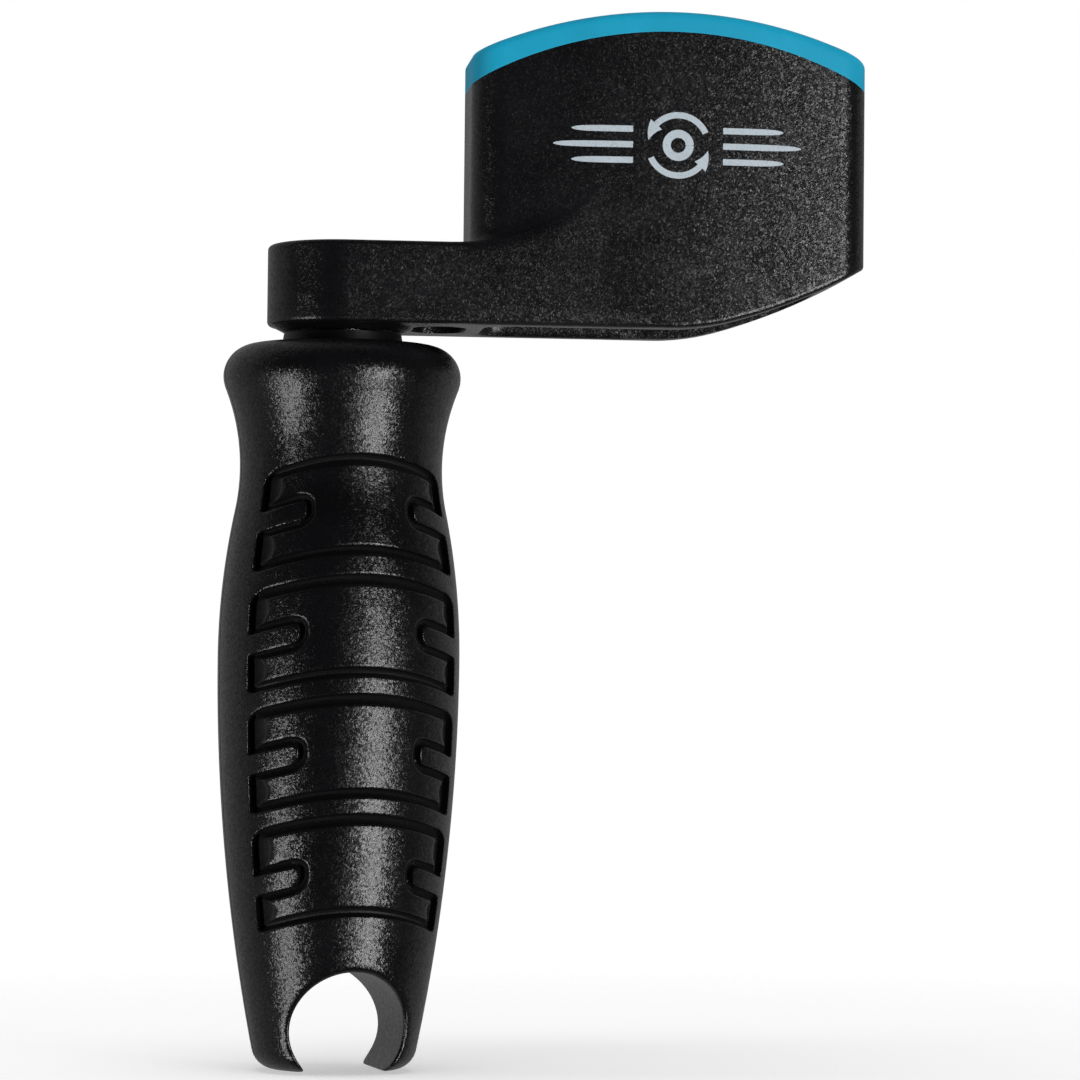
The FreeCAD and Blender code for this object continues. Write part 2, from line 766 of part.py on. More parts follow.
def make_bearing(place):
    """A shielded ball bearing: two rings, two shields, a cage and its balls."""
    height = f"{place}_bearing"
    name = f"{place}_bearing"
    half = "bearing_half_width"
    inner_race = "sqrt(race_radius^2 - (ball_circle - inner_land)^2)"
    outer_race = "sqrt(race_radius^2 - (outer_land - ball_circle)^2)"
    inner_ring = turned_piece(
        f"{name}_inner_ring",
        [
            ("axle_radius", f"-{half}"),
            ("inner_land", f"-{half}"),
            ("inner_land", f"-{inner_race}", "-race_radius"),
            ("inner_land", inner_race),
            ("inner_land", half),
            ("axle_radius", half),
        ],
        height,
    )
    outer_ring = turned_piece(
        f"{name}_outer_ring",
        [
            ("bearing_radius", f"-{half}"),
            ("bearing_radius", half),
            ("shield_seat", half),
            ("shield_seat", "shield_inset"),
            ("outer_land", "shield_inset"),
            ("outer_land", outer_race, "-race_radius"),
            ("outer_land", f"-{outer_race}"),
            ("outer_land", "-shield_inset"),
            ("shield_seat", "-shield_inset"),
            ("shield_seat", f"-{half}"),
        ],
        height,
    )
    outside = "(shield_inset + shield_thickness)"
    top_span = ("shield_inset", outside)
    bottom_span = (f"-{outside}", "-shield_inset")
    top_shield = sleeve(f"{name}_top_shield", "shield_bore", "shield_seat", *top_span, height)
    bottom_shield = sleeve(f"{name}_bottom_shield", "shield_bore", "shield_seat", *bottom_span, height)
    cage = make_cage(f"{name}_cage", height)
    balls = make_balls(f"{name}_balls", height)
    return [inner_ring, outer_ring, top_shield, bottom_shield, cage, balls]


# ---------------------------------------------------------------- the whole winder

upper_top, upper_bottom = "upper_bearing + bearing_half_width", "upper_bearing - bearing_half_width"
lower_top, lower_bottom = "lower_bearing + bearing_half_width", "lower_bearing - bearing_half_width"
washer_bottom = f"{lower_bottom} - washer_thickness"
pieces = [make_crank_arm(), make_cup_liner(), make_axle()]
pieces.append(sleeve("top_spacer", "axle_radius", "spacer_radius", upper_top, "boss_bottom"))
pieces += make_bearing("upper")
pieces.append(sleeve("bearing_spacer", "axle_radius", "spacer_radius", lower_top, upper_bottom))
pieces += make_bearing("lower")
pieces.append(sleeve("end_washer", "axle_radius", "washer_radius", washer_bottom, lower_bottom))
pieces.append(make_retaining_clip())
pieces.append(make_handle_shell("handle_front_shell", "handle_spin", has_dowels=True))
pieces.append(make_handle_shell("handle_back_shell", "handle_spin + 180", has_dowels=False))
pieces.append(make_collar())
document.recompute()

for item in document.Objects:
    assert "Invalid" not in item.State and "Error" not in item.State, f"{item.Label}: {item.State}"

os.makedirs("parts", exist_ok=True)
for piece in pieces:
    shape = piece.Shape
    assert not shape.isNull() and shape.isValid() and shape.Solids, piece.Label
    shape.exportStep(f"parts/{piece.Label}.step")
    print(f"{piece.Label}: {len(shape.Solids)} solid(s), {shape.Volume:.1f} mm3")
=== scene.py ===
"""Looks of the string winder: a finely meshed grip, a printed pictogram, materials, light and camera.

Sizes are in millimetres and angles in degrees, in the frame of the CAD model: the origin is the middle
of the cup's mouth, +Z leads out of the cup and the front is -Y. Meshes are scaled to metres at the end.
"""

import json
import math

import bmesh
import bpy
import numpy as np
from mathutils import Matrix, Vector


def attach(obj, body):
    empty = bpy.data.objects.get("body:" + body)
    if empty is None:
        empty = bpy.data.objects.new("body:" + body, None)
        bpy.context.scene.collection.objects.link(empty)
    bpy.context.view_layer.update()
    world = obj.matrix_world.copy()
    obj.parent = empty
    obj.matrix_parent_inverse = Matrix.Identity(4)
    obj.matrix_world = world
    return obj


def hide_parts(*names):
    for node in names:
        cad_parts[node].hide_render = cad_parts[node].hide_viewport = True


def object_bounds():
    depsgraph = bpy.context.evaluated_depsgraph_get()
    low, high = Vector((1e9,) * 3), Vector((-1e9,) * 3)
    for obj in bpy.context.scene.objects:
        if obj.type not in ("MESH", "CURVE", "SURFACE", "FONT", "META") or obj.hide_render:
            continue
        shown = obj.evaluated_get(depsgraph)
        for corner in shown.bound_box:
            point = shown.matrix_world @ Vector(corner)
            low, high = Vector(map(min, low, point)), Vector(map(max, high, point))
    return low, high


MM = 0.001

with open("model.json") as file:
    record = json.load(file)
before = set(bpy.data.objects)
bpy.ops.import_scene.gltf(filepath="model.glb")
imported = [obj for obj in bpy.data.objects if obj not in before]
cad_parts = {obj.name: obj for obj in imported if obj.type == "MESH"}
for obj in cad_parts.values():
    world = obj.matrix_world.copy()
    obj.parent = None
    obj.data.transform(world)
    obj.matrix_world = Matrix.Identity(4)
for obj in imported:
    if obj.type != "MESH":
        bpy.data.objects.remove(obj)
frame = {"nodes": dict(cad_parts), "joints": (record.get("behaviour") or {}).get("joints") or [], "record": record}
cad_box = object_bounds()
nodes = frame["nodes"]
spin_joint = next(joint for joint in frame["joints"] if joint["name"] == "handle_spin")

# ---------------------------------------------------------------- sizes

AXLE_X = spin_joint["pos_m"][0] / MM
HANDLE_SPIN = 8.5  # how far the grip is turned from facing the front

# the grip's outline: shoulder, waist, belly and foot
HANDLE_TOP = -33.3
MOUTH_RADIUS = 5.5
SHOULDER_ROUND = 3.2
WAIST_RADIUS = 10.05
WAIST_ROUND = 21.0
BELLY_RADIUS = 12.0
BELLY_Z = -64.5
BELLY_UPPER_ROUND = 72.0
BELLY_LOWER_ROUND = 195.0
FOOT_ROUND = 2.4
HANDLE_BOTTOM = -105.0

# the bridge-pin notch through the foot
NOTCH_RADIUS = 5.7
NOTCH_Z = -100.75
NOTCH_EDGE_ROUND = 0.9
TIP_EDGE_ROUND = 0.45
EDGE_CHANGE = (0.8, 2)  # the stages of the notch's edge between which one round changes to the other

# the four grip panels: heights of the upper edge, the lower edge and the fingers, at the middle
PANELS = ((-44.6, -54.45, -49.5), (-56.4, -66.3, -61.5), (-68.0, -78.0, -73.2), (-79.6, -89.5, -85.0))
PANEL_REACH = 0.86
PANEL_ARCH = 1.9
PANEL_TOP_CORNER = 1.25
PANEL_FOOT_CORNER = 0.6
FINGER_REACH = 0.51
FINGER_HALF = 0.97
FINGER_CORNER = 0.7
FINGER_BLEND = 0.4
GROOVE_DEPTH = 0.95
GROOVE_TOP_WIDTH = 1.06
GROOVE_FOOT_WIDTH = 0.85
GROOVE_SIDE_WIDTH = 1.15
GROOVE_FINGER_WIDTH = 0.72
GROOVE_LIP = 0.12
GROOVE_DEEPEST = 0.45  # share of the groove's width
LAND_ROLL = 0.14
LAND_SIDE_ROLL = 0.55
SIDE_CHANGE = 0.5  # how far either way a groove's width takes to change at a panel's side
FINGER_CHANGE = 0.3  # and round a finger

# where the arch of the panels fades out above them
ARCH_FADE_TOP = -37.0
ARCH_FADE_END = -43.2

# the mesh: rings on the top and the shoulder, where the foot's own patch starts and ends, its rows
# over the surface, round the notch's edge and on its wall, and how much of that edge goes with the ring above
TOP_RINGS = 8
SHOULDER_RINGS = 20
FOOT_START = -90.2
FOOT_BORDER_END = 5.2
FOOT_ROWS = 30
FOOT_EASE = (0.04, 0.96)
EDGE_ROWS = 8
WALL_ROWS = 12
RING_SHARE = 0.36
WELD = 0.004
FINE_WELD = 0.0005
CREASE = 50

# parting line of the two shells
SEAM_DEPTH = 0.07
SEAM_HALF = 0.09

# inside of the grip, from the collar's seat to the chamber in the foot
BEARINGS = (-37.6, -57.6)
BEARING_HALF = 2.0
BEARING_RADIUS = 5.0
BEARING_SHOULDER = 4.4
CHAMBER_RADIUS = 7.45
SEAT_GRIP = 1.0
RIB = 1.2
BELLY_CHAMBER_RADIUS = 9.0
FOOT_CHAMBER_RADIUS = 7.0
CHAMBER_BOTTOM = -92.0
STIFFENER_Z = -76.0
STIFFENER_HALF = 0.8

# the printed pictogram on the cup's face
FACE_ROUND = 150.0
FACE_DEPTH = 7.7
PRINT_X = 0.4
PRINT_Z = -13.4
PRINT_THICKNESS = 0.04
PRINT_STROKE = 0.62
BUTTON_RADIUS = 1.15
BUTTON_STROKE = 1.3  # in strokes, as is the arrowhead's width
ARROW_RADIUS = 3.0
ARROW_STARTS = (25, 205)
ARROW_SHAFT = 112
ARROW_HEAD = 34
ARROW_HEAD_WIDTH = 2.4
STRING_START = 4.5
STRINGS = ((1.55, 10.6), (0.0, 12.4), (-1.55, 10.6))  # height and far end of each

# where the arm's sides run out into the cup's faces: where the blend starts and ends along X, where it
# ends below the rim, and its radius
BLEND_START = (-21.0, -18.5)
BLEND_END = (-4.0, -1.5)
BLEND_TOP = (-9.0, -7.0)
BLEND_RADIUS = 2.2

# the mesh layer that holds how deep in a groove each point of the grip lies, and the shares between which
# the grooves' painted shade and extra roughness set in
GROOVE_LAYER = "groove"
GROOVE_SHADE_SHARES = (0.12, 0.5)

# finishes: the range that noise keeps to, the size of a plastic's drifts of tone, and the cosines between
# the true and the rounded normal at which the edges' painted highlight (and the black plastic's smoother edge)
# starts and is full
NOISE_RANGE = (0.3, 0.7)
CLOUD_SIZE = 6.0
EDGE_GLINT_COSINES = (0.999, 0.93)

# camera
TARGET = (-12.1, 0.0, -52.35)
CAMERA_AZIMUTH = -6.3
CAMERA_ELEVATION = -2.5
CAMERA_DISTANCE = 433.0
CAMERA_ROLL = 0.6
VIEW_WIDTH = 108.0
SENSOR = 36.0

# stage, in metres: the floor fades between two distances, and the room is dark in front and lighter behind
FLOOR_START, FLOOR_END = 0.02, 0.18
FLOOR_GAP = 0.0002
FLOOR_TONE = (0.92, 0.92, 0.92, 1.0)
FLOOR_GLOW = 0.45
ROOM_FRONT, ROOM_BACK = -0.2, 0.35
ROOM_DARK, ROOM_LIGHT = 0.01, 0.33

# lamps, in metres: name, azimuth, elevation, width, height, radiance and whether the gloss mirrors it
LAMP_DISTANCE = 0.9
LAMPS = (
    ("key_right", 34, -15, 0.14, 0.72, 19, True),
    ("fill_right", 17, -15, 0.2, 0.72, 0.8, True),
    ("key_left", -62, -24, 0.16, 0.5, 12, True),
    ("top", 0, 80, 0.6, 0.6, 3.5, False),
)
RANGE_SOCKETS = ("From Min", "From Max", "To Min", "To Max")


# ---------------------------------------------------------------- the grip's outline

WAIST_CENTRE = WAIST_RADIUS + WAIST_ROUND
UPPER_CENTRE = BELLY_RADIUS - BELLY_UPPER_ROUND
LOWER_CENTRE = BELLY_RADIUS - BELLY_LOWER_ROUND
UPPER_SPAN = BELLY_UPPER_ROUND + WAIST_ROUND
WAIST_Z = BELLY_Z + math.sqrt(UPPER_SPAN**2 - (WAIST_CENTRE - UPPER_CENTRE) ** 2)
SHOULDER_Z = HANDLE_TOP - SHOULDER_ROUND
SHOULDER_SPAN = WAIST_ROUND + SHOULDER_ROUND
SHOULDER_CENTRE = WAIST_CENTRE - math.sqrt(SHOULDER_SPAN**2 - (SHOULDER_Z - WAIST_Z) ** 2)
FOOT_Z = HANDLE_BOTTOM + FOOT_ROUND
FOOT_CENTRE = LOWER_CENTRE + math.sqrt((BELLY_LOWER_ROUND - FOOT_ROUND) ** 2 - (BELLY_Z - FOOT_Z) ** 2)

# the heights at which one arc hands over to the next
SHOULDER_END = SHOULDER_Z + (WAIST_Z - SHOULDER_Z) * SHOULDER_ROUND / SHOULDER_SPAN
WAIST_END = BELLY_Z + (WAIST_Z - BELLY_Z) * BELLY_UPPER_ROUND / UPPER_SPAN
BELLY_END_ANGLE = math.atan2(BELLY_Z - FOOT_Z, FOOT_CENTRE - LOWER_CENTRE)
BELLY_END = BELLY_Z - BELLY_LOWER_ROUND * math.sin(BELLY_END_ANGLE)

# lengths along the outline, from the belly's widest place to the fillet and round the fillet
BELLY_LENGTH = BELLY_LOWER_ROUND * BELLY_END_ANGLE
FILLET_LENGTH = FOOT_ROUND * (math.pi / 2 - BELLY_END_ANGLE)


def grip_radius(z):
    """The grip's outer radius at each height from its shoulder down to its underside."""

    def arc(centre, middle, radius, sign):
        return centre + sign * np.sqrt(np.maximum(radius**2 - (z - middle) ** 2, 0))

    return np.select(
        [z > SHOULDER_END, z > WAIST_END, z > BELLY_Z, z > BELLY_END],
        [
            arc(SHOULDER_CENTRE, SHOULDER_Z, SHOULDER_ROUND, 1),
            arc(WAIST_CENTRE, WAIST_Z, WAIST_ROUND, -1),
            arc(UPPER_CENTRE, BELLY_Z, BELLY_UPPER_ROUND, 1),
            arc(LOWER_CENTRE, BELLY_Z, BELLY_LOWER_ROUND, 1),
        ],
        arc(FOOT_CENTRE, FOOT_Z, FOOT_ROUND, 1),
    )


def smooth(low, high, value):
    """0 below low, 1 above high and a smooth step between them."""
    share = np.clip((value - low) / (high - low), 0, 1)
    return share * share * (3 - 2 * share)


def graded(start, end, keys, fine, coarse, growth):
    """Places from start to end, close together near each key and further apart between them."""
    sign = 1 if end > start else -1
    places = [start]
    while True:
        gap = min(abs(places[-1] - key) for key in keys)
        step = min(coarse, fine + growth * gap)
        if (end - places[-1]) * sign <= 1.5 * step:
            break
        places.append(places[-1] + sign * step)
    return np.array(places + [end])


# ---------------------------------------------------------------- grip panels


def rounded_box(x, z, half_x, half_z, corner):
    """Distance from a box with round corners, below zero inside it."""
    over_x = np.abs(x) - half_x + corner
    over_z = np.abs(z) - half_z + corner
    outside = np.hypot(np.maximum(over_x, 0), np.maximum(over_z, 0))
    return outside + np.minimum(np.maximum(over_x, over_z), 0) - corner


def soft_least(one, other, blend):
    """The smaller of two distances, with the corner between them rounded."""
    share = np.maximum(blend - np.abs(one - other), 0) / blend
    return np.minimum(one, other) - share**2 * blend / 4


def groove_share(x, z, radius):
    """How deep the grooves are cut at each point of the grip, from 0 to 1. z runs along the arches."""
    share = np.zeros_like(x)
    for top, bottom, finger_z in PANELS:
        middle, half = (top + bottom) / 2, (top - bottom) / 2
        corner = np.where(z > middle, PANEL_TOP_CORNER, PANEL_FOOT_CORNER)
        inside = -rounded_box(x, z - middle, PANEL_REACH * radius, half, corner)
        tip = FINGER_REACH * grip_radius(np.array(finger_z))
        far = 3 * BELLY_RADIUS
        finger = rounded_box(np.abs(x) - tip - far, z - finger_z, far, FINGER_HALF, FINGER_CORNER)
        depth = soft_least(inside, finger, FINGER_BLEND)
        # the groove is widest down the panel's sides and narrowest round the fingers
        beside = np.abs(x) - PANEL_REACH * radius - np.abs(z - middle) + half
        by_side = smooth(-SIDE_CHANGE, SIDE_CHANGE, beside)
        by_finger = smooth(-FINGER_CHANGE, FINGER_CHANGE, inside - finger)
        width = GROOVE_FOOT_WIDTH + (GROOVE_TOP_WIDTH - GROOVE_FOOT_WIDTH) * smooth(bottom, top, z)
        width = width + (GROOVE_SIDE_WIDTH - width) * by_side
        width = width + (GROOVE_FINGER_WIDTH - width) * by_finger
        roll = LAND_ROLL + (LAND_SIDE_ROLL - LAND_ROLL) * by_side * (1 - by_finger)
        deepest = GROOVE_DEEPEST * width
        cut = smooth(-GROOVE_LIP, deepest, depth) * (1 - smooth(deepest, width + roll, depth))
        share = np.maximum(share, cut)
    return share


def panel_arch(angle):
    """How far the panels' level lines drop at an angle round the grip."""
    return PANEL_ARCH * (np.sin(angle) / PANEL_REACH) ** 2


def seam_dip(radius, angle):
    """The fine V where the two shells meet."""
    away = radius * (math.pi / 2 - np.abs(angle))
    return SEAM_DEPTH * np.maximum(1 - away / SEAM_HALF, 0)


# ---------------------------------------------------------------- the grip's mesh


def panel_columns():
    """Angles from the middle of the front to the parting line, closer where grooves run down the grip."""
    keys = []
    for radius in (grip_radius(np.array(PANELS[0][0])), BELLY_RADIUS):
        for reach in (PANEL_REACH, FINGER_REACH):
            for width in (0, GROOVE_FINGER_WIDTH, GROOVE_SIDE_WIDTH):
                keys.append(math.degrees(math.asin(reach - width / radius)))
    keys.append(90)
    return np.radians(graded(0, 90, keys, fine=0.45, coarse=2.0, growth=0.25))


def panel_rows():
    """Heights down the grip, closer at the grooves' level edges."""
    keys = []
    for top, bottom, finger_z in PANELS:
        keys += [top, top - GROOVE_TOP_WIDTH, bottom + GROOVE_FOOT_WIDTH, bottom]
        for side in (1, -1):
            keys += [finger_z + side * FINGER_HALF, finger_z + side * (FINGER_HALF + GROOVE_FINGER_WIDTH)]
    return graded(SHOULDER_Z, FOOT_START, keys, fine=0.075, coarse=0.5, growth=0.3)


def both_sides(columns):
    return np.concatenate([-columns[:0:-1], columns])


def around(radius, angles, z):
    """Points round the grip's axis, by their angles from the middle of the front."""
    return np.stack([radius * np.sin(angles), -radius * np.cos(angles), z + np.zeros_like(angles)], 1)


def grip_skin(columns):
    """Rows of points over the grip, from the collar's hole to the foot, and their groove shares."""
    angles = both_sides(columns)
    rows, depths = [], []

    def ring(radius, z):
        rows.append(around(radius - seam_dip(radius, angles), angles, z))
        depths.append(np.zeros_like(angles))

    for radius in np.linspace(MOUTH_RADIUS, SHOULDER_CENTRE, TOP_RINGS)[:-1]:
        ring(radius, HANDLE_TOP)
    for turn in np.linspace(math.pi / 2, 0, SHOULDER_RINGS)[:-1]:
        ring(SHOULDER_CENTRE + SHOULDER_ROUND * math.cos(turn), SHOULDER_Z + SHOULDER_ROUND * math.sin(turn))
    for level in panel_rows():
        z = level - smooth(ARCH_FADE_TOP, ARCH_FADE_END, level) * panel_arch(angles)
        radius = grip_radius(z)
        x, front = radius * np.sin(angles), radius * np.cos(angles)
        floor = np.sqrt(np.maximum((radius - GROOVE_DEPTH) ** 2 - x**2, 0))
        share = groove_share(x, np.full_like(z, level), radius)
        cut = (front - floor) * share
        dip = seam_dip(radius, angles)
        rows.append(np.stack([x - dip * np.sin(angles), cut - front + dip * np.cos(angles), z], 1))
        depths.append(share)
    return np.array(rows), np.array(depths)


def foot_section(along):
    """Radius and height at a distance along the foot's outline, measured from the belly's widest place."""
    on_belly = along < BELLY_LENGTH
    on_fillet = along < BELLY_LENGTH + FILLET_LENGTH
    past_belly = BELLY_END_ANGLE + (along - BELLY_LENGTH) / FOOT_ROUND
    angle = np.where(on_belly, along / BELLY_LOWER_ROUND, past_belly)
    flat = FOOT_CENTRE - (along - BELLY_LENGTH - FILLET_LENGTH)
    radius = np.where(
        on_belly,
        LOWER_CENTRE + BELLY_LOWER_ROUND * np.cos(angle),
        np.where(on_fillet, FOOT_CENTRE + FOOT_ROUND * np.cos(angle), flat),
    )
    z = np.where(
        on_belly,
        BELLY_Z - BELLY_LOWER_ROUND * np.sin(angle),
        np.where(on_fillet, FOOT_Z - FOOT_ROUND * np.sin(angle), HANDLE_BOTTOM),
    )
    return radius, z


def along_foot(radius, z):
    """The distance along the foot's outline of a point on it."""
    on_belly = BELLY_LOWER_ROUND * np.arctan2(BELLY_Z - z, radius - LOWER_CENTRE)
    turn = np.arctan2(FOOT_Z - z, radius - FOOT_CENTRE) - BELLY_END_ANGLE
    on_fillet = BELLY_LENGTH + FOOT_ROUND * turn
    on_flat = BELLY_LENGTH + FILLET_LENGTH + FOOT_CENTRE - radius
    return np.where(z > BELLY_END, on_belly, np.where(radius > FOOT_CENTRE, on_fillet, on_flat))


def notch_edge(radius, stage):
    """Where a notch of this radius leaves the grip's surface.

    stage runs from 0 at the notch's top, over 1 and 2 at the ends of the foot's fillet, to 3 at the
    parting plane.
    """
    down = np.arccos(np.clip((BELLY_END - NOTCH_Z) / radius, -1, 1)) * np.minimum(stage, 1)
    side_z = NOTCH_Z + radius * np.cos(down)
    turn = BELLY_END_ANGLE + (math.pi / 2 - BELLY_END_ANGLE) * np.clip(stage - 1, 0, 1)
    z = np.where(stage < 1, side_z, FOOT_Z - FOOT_ROUND * np.sin(turn))
    reach = np.where(stage < 1, grip_radius(side_z), FOOT_CENTRE + FOOT_ROUND * np.cos(turn))
    x = np.sqrt(np.maximum(radius**2 - (z - NOTCH_Z) ** 2, 0))
    y = -np.sqrt(np.maximum(reach**2 - x**2, 0)) * np.clip(3 - stage, 0, 1)
    return np.stack([x, y, z], -1)


def foot_patch(columns):
    """The right half of the foot, in rows from its border to the notch's wall at the parting plane."""
    # the border: the last ring of the skin above, then the parting line down to the underside
    last_z = FOOT_START - panel_arch(columns)
    border_along = along_foot(grip_radius(last_z), last_z)
    flat_along = along_foot(np.array(FOOT_BORDER_END), np.array(HANDLE_BOTTOM))
    fillet_middle = BELLY_LENGTH + FOOT_ROUND * math.pi / 4
    ends = float(border_along[-1]), float(flat_along)
    down = graded(*ends, [fillet_middle], fine=0.2, coarse=0.45, growth=0.1)[1:]
    border_along = np.concatenate([border_along, down])
    border_angle = np.concatenate([columns, np.full(len(down), math.pi / 2)])

    # the notch's edge, shared out over the border: its upper part goes with the ring
    def edge_round(stage):
        return NOTCH_EDGE_ROUND + (TIP_EDGE_ROUND - NOTCH_EDGE_ROUND) * smooth(*EDGE_CHANGE, stage)

    stages = np.concatenate([np.linspace(0, 1, 400), np.linspace(1, 2, 120)[1:], np.linspace(2, 3, 120)[1:]])
    trace = notch_edge(NOTCH_RADIUS + edge_round(stages), stages)
    length = np.concatenate([[0], np.cumsum(np.linalg.norm(np.diff(trace, axis=0), axis=1))])
    below_ring = (1 - RING_SHARE) * np.arange(1, len(down) + 1) / len(down)
    shares = np.concatenate([RING_SHARE * columns / columns[-1], RING_SHARE + below_ring])
    stage = np.interp(shares * length[-1], length, stages)
    outer = notch_edge(NOTCH_RADIUS + edge_round(stage), stage)
    corner = notch_edge(np.full_like(stage, NOTCH_RADIUS), stage)

    # from the border to the notch's edge over the grip's surface
    edge_angle = np.arctan2(outer[:, 0], -outer[:, 1])
    edge_along = along_foot(np.hypot(outer[:, 0], outer[:, 1]), outer[:, 2])
    rows = []
    eased = smooth(0, 1, np.linspace(*FOOT_EASE, FOOT_ROWS))
    for share in (eased - eased[0]) / (eased[-1] - eased[0]):
        angle = border_angle + (edge_angle - border_angle) * share
        radius, z = foot_section(border_along + (edge_along - border_along) * share)
        rows.append(around(radius - seam_dip(radius, angle), angle, z))
    rows[-1][-1, 1] = 0

    # round the edge into the wall: the wall is followed by the angle round the notch and by y
    def on_wall(at):
        point = notch_edge(np.full_like(at, NOTCH_RADIUS), at)
        return np.stack([NOTCH_RADIUS * np.arctan2(point[:, 0], point[:, 2] - NOTCH_Z), point[:, 1]], 1)

    small = 1e-3
    onward = on_wall(np.minimum(stage + small, 3)) - on_wall(np.maximum(stage - small, 0))
    onward /= np.linalg.norm(onward, axis=1)[:, None]
    inward = np.stack([-onward[:, 1], onward[:, 0]], 1)
    inward[0], inward[-1] = (0, 1), (-1, 0)
    start = on_wall(stage) + inward * edge_round(stage)[:, None]

    def wall_point(place):
        turned = place[:, 0] / NOTCH_RADIUS
        x, z = NOTCH_RADIUS * np.sin(turned), NOTCH_Z + NOTCH_RADIUS * np.cos(turned)
        return np.stack([x, place[:, 1], z], 1)

    inner = wall_point(start)
    for share in np.linspace(0, 1, EDGE_ROWS + 1)[1:]:
        rows.append(outer * (1 - share) ** 2 + corner * 2 * share * (1 - share) + inner * share**2)
    finish = np.stack([start[-1, 0] * shares, np.zeros_like(shares)], 1)
    for share in np.linspace(0, 1, WALL_ROWS + 1)[1:]:
        rows.append(wall_point(start + (finish - start) * share))
    rows = np.array(rows)
    rows[:, 0, 0] = 0
    rows[:, -1, 1] = 0
    return rows


def hollow_outline():
    """The section of the space inside the grip, from the collar's hole down to the stiffener."""
    seats = []
    for middle in BEARINGS:
        seats.append((middle + BEARING_HALF, middle - BEARING_HALF))
    (top, upper), (lower, bottom) = seats
    steps = [
        (MOUTH_RADIUS, HANDLE_TOP, top),
        (BEARING_RADIUS, top, top - SEAT_GRIP),
        (CHAMBER_RADIUS, top - SEAT_GRIP, upper + SEAT_GRIP),
        (BEARING_RADIUS, upper + SEAT_GRIP, upper),
        (BEARING_SHOULDER, upper, upper - RIB),
        (CHAMBER_RADIUS, upper - RIB, lower + RIB),
        (BEARING_SHOULDER, lower + RIB, lower),
        (BEARING_RADIUS, lower, lower - SEAT_GRIP),
        (CHAMBER_RADIUS, lower - SEAT_GRIP, bottom + SEAT_GRIP),
        (BEARING_RADIUS, bottom + SEAT_GRIP, bottom),
        (BEARING_SHOULDER, bottom, bottom - RIB),
        (BELLY_CHAMBER_RADIUS, bottom - RIB, STIFFENER_Z + STIFFENER_HALF),
    ]
    corners = []
    for radius, upper_end, lower_end in steps:
        corners += [(radius, upper_end), (radius, lower_end)]
    return corners + [(0, STIFFENER_Z + STIFFENER_HALF)]


def foot_chamber_outline():
    """The section of the tapered chamber below the stiffener."""
    roof = STIFFENER_Z - STIFFENER_HALF
    foot = CHAMBER_BOTTOM
    return [(0, roof), (BELLY_CHAMBER_RADIUS, roof), (FOOT_CHAMBER_RADIUS, foot), (0, foot)]


def turned_half(outline, columns):
    """An outline turned about the grip's axis, from one parting line round to the other."""
    angles = both_sides(columns)
    return np.array([around(radius, angles, z) for radius, z in outline])


def add_grid(bm, points, shares=None):
    """Quads over rows of points, with the groove share of each point where it is given."""
    made = [[bm.verts.new(point) for point in row] for row in points]
    if shares is not None:
        layer = bm.verts.layers.float[GROOVE_LAYER]
        for row, row_shares in zip(made, shares):
            for vert, share in zip(row, row_shares):
                vert[layer] = share
    for above, below in zip(made, made[1:]):
        for here in range(len(above) - 1):
            bm.faces.new((above[here], below[here], below[here + 1], above[here + 1]))


def make_object(name, bm, material, body):
    """An object from a mesh in millimetres, with its finish and the body that it rides on."""
    mesh = bpy.data.meshes.new(name)
    bm.to_mesh(mesh)
    bm.free()
    mesh.transform(Matrix.Scale(MM, 4))
    mesh.materials.append(material)
    piece = bpy.data.objects.new(name, mesh)
    bpy.context.scene.collection.objects.link(piece)
    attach(piece, body)
    return piece


def make_shell(name, node, turn, material):
    """One half of the grip, closed by a flat face at the parting plane."""
    columns = panel_columns()
    bm = bmesh.new()
    bm.verts.layers.float.new(GROOVE_LAYER)
    add_grid(bm, *grip_skin(columns))
    foot = foot_patch(columns)
    add_grid(bm, foot)
    add_grid(bm, foot * (-1, 1, 1))
    add_grid(bm, turned_half(hollow_outline(), columns))
    add_grid(bm, turned_half(foot_chamber_outline(), columns))
    bmesh.ops.remove_doubles(bm, verts=bm.verts, dist=WELD)
    bmesh.ops.dissolve_degenerate(bm, edges=bm.edges, dist=FINE_WELD)
    for face in bm.faces:
        face.smooth = True
    border = [edge for edge in bm.edges if edge.is_boundary]
    for edge in border:
        edge.smooth = False
    bmesh.ops.triangle_fill(bm, use_beauty=True, edges=border, normal=(0, 1, 0))
    bmesh.ops.recalc_face_normals(bm, faces=bm.faces)
    for edge in bm.edges:
        if len(edge.link_faces) == 2 and edge.calc_face_angle() > math.radians(CREASE):
            edge.smooth = False
    spin = Matrix.Rotation(math.radians(HANDLE_SPIN + turn), 4, "Z")
    bm.transform(Matrix.Translation((AXLE_X, 0, 0)) @ spin)
    open_edges = sum(1 for edge in bm.edges if not edge.is_manifold)
    print(f"{name}: {len(bm.faces)} faces, {open_edges} open edges")
    piece = make_object(name, bm, material, "handle")
    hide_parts(node)
    return piece


# ---------------------------------------------------------------- materials


